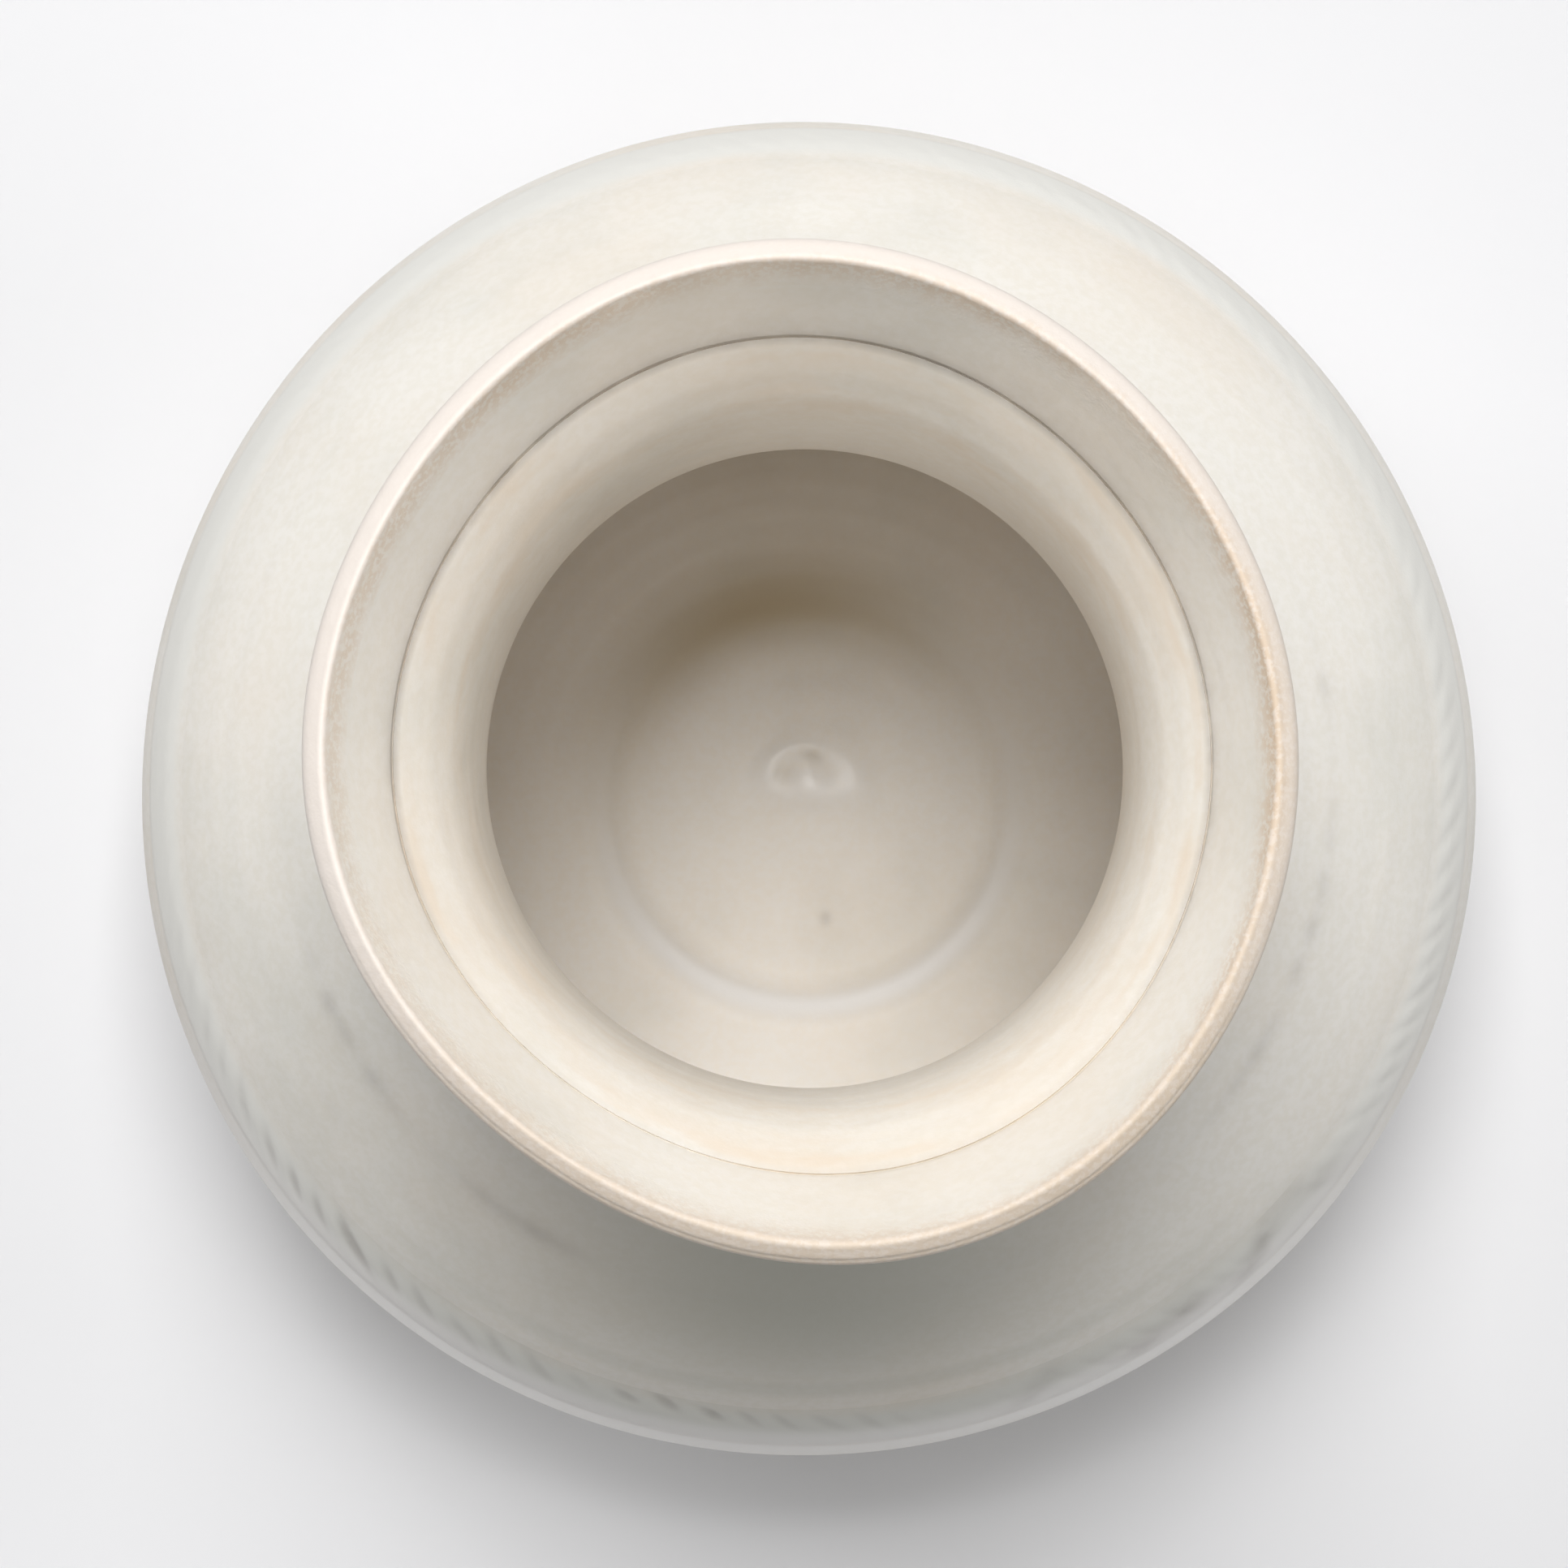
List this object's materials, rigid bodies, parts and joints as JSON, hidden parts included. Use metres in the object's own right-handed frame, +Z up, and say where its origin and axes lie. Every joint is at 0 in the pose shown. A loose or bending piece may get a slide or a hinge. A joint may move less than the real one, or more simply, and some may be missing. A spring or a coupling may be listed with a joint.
{
  "type": "gourd vase",
  "caption": "Pale glazed stoneware gourd vase: a wide belly with a cord-impressed band, a drawn-in waist and an open flared mouth, standing on a low foot ring.",
  "frame": {"origin": "centre of the foot ring's resting face on the throwing axis", "axes": "+Z up along the throwing axis towards the mouth, +Y towards the back as pictured, +X to the right"},
  "size_m": [0.2056, 0.2056, 0.217],
  "materials": {
    "glaze": "satin",
    "cord_glaze": "satin",
    "lip_glaze": "satin",
    "bare_clay": "matte",
    "slip": "matte"
  },
  "bodies": {
    "root": {"foot_ring": "bare_clay", "foot_slip": "slip", "lower_bowl": "glaze", "belly_slip": "slip", "shoulder_dome": "glaze", "cord_band": "cord_glaze", "shoulder_slip": "slip", "neck_collar": "glaze", "mouth_slip": "slip", "mouth_flare": "glaze", "lip_slip": "slip", "lip_bead": "lip_glaze"}
  },
  "joints": []
}
